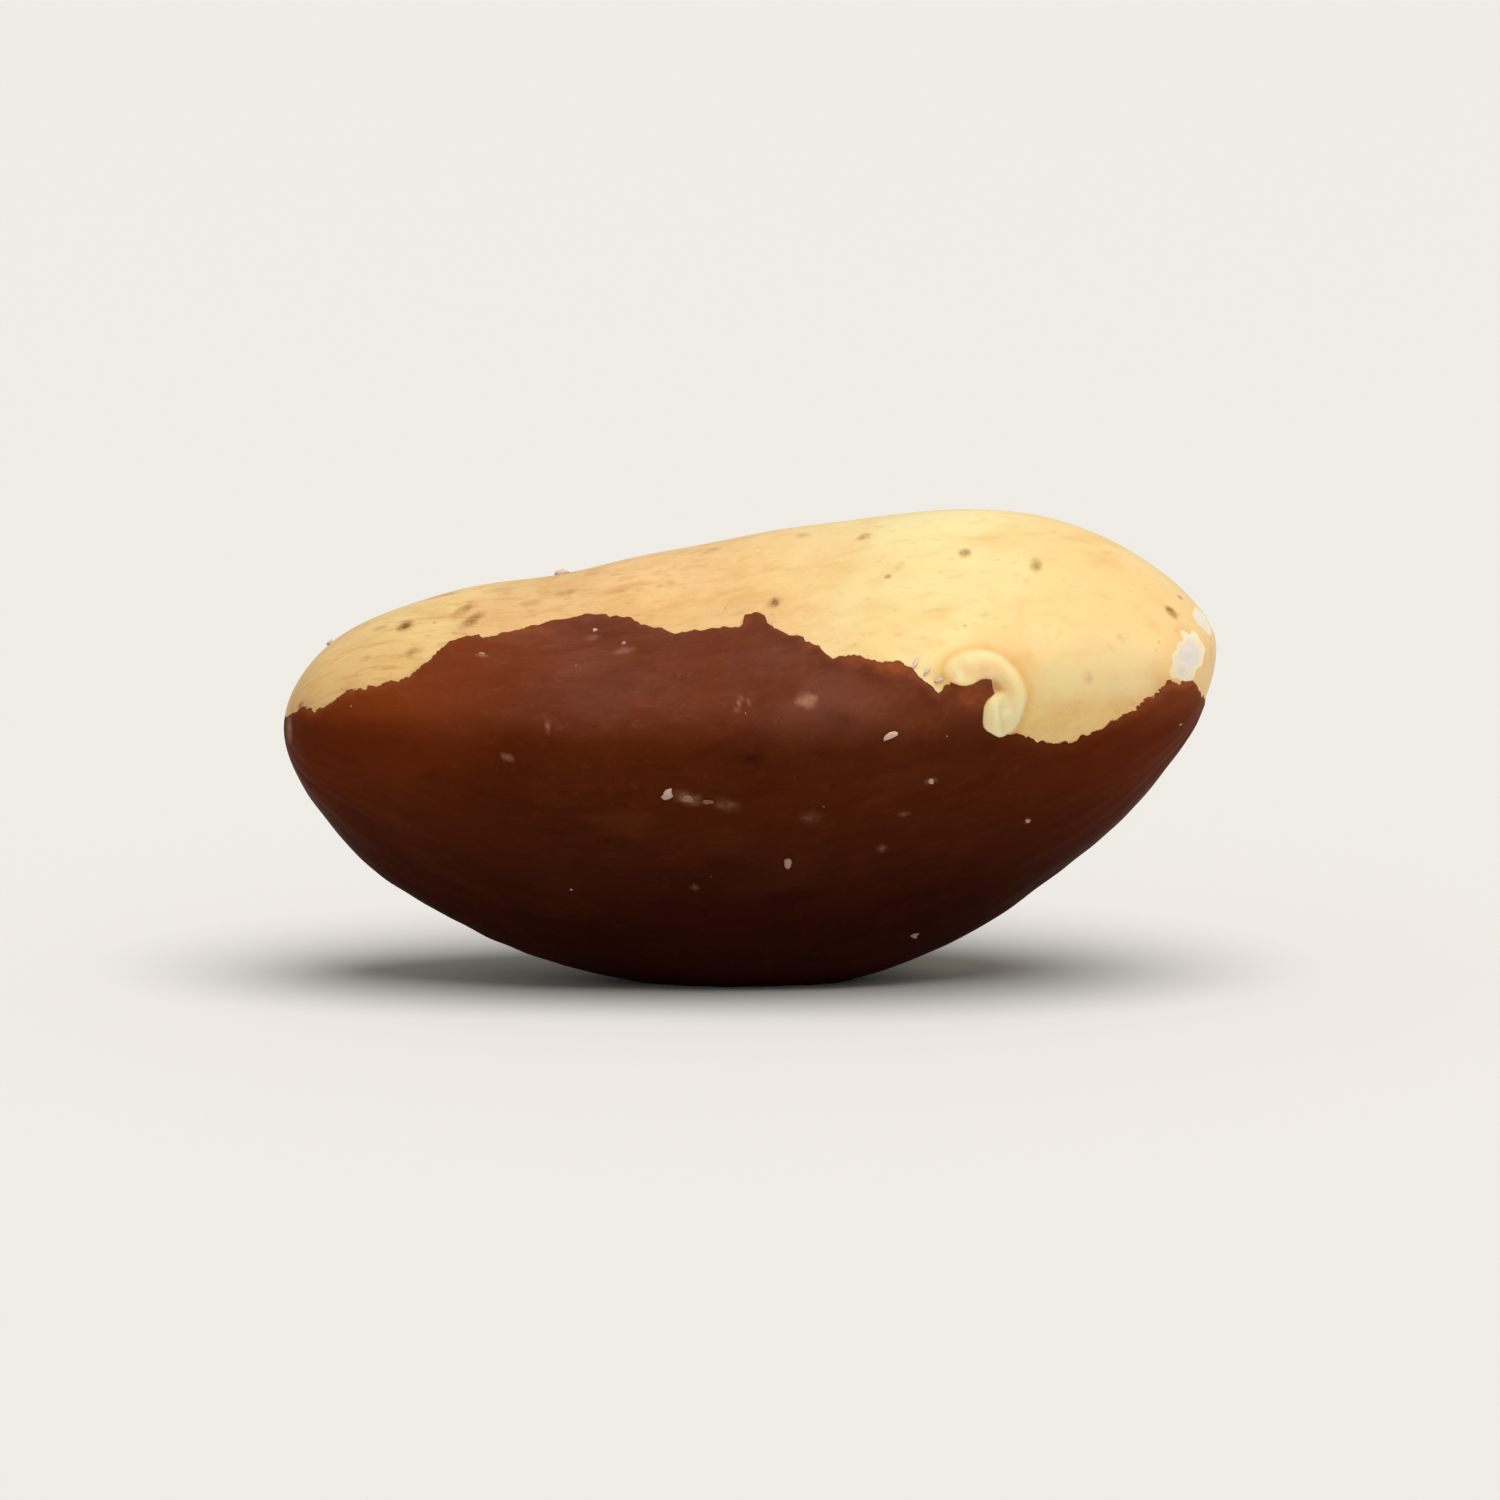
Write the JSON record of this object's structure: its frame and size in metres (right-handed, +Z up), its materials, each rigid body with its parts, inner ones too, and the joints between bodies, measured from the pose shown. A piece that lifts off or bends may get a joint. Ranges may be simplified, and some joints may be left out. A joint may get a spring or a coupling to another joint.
{
  "type": "brazil nut",
  "caption": "Shelled Brazil nut kernel, three-sided with soft ridges, part of its brown skin left on, lying on a small flat spot.",
  "frame": {"origin": "under the middle of the kernel, on the flat spot that it rests on", "axes": "+X along the kernel to its blunt end, -Y to its front ridge, +Z up"},
  "size_m": [0.037, 0.0164, 0.0185],
  "materials": {
    "kernel": "waxy cream-yellow flesh, bare above; matte red-brown skin with a ragged edge below"
  },
  "bodies": {
    "root": {"kernel": "kernel"}
  },
  "joints": []
}
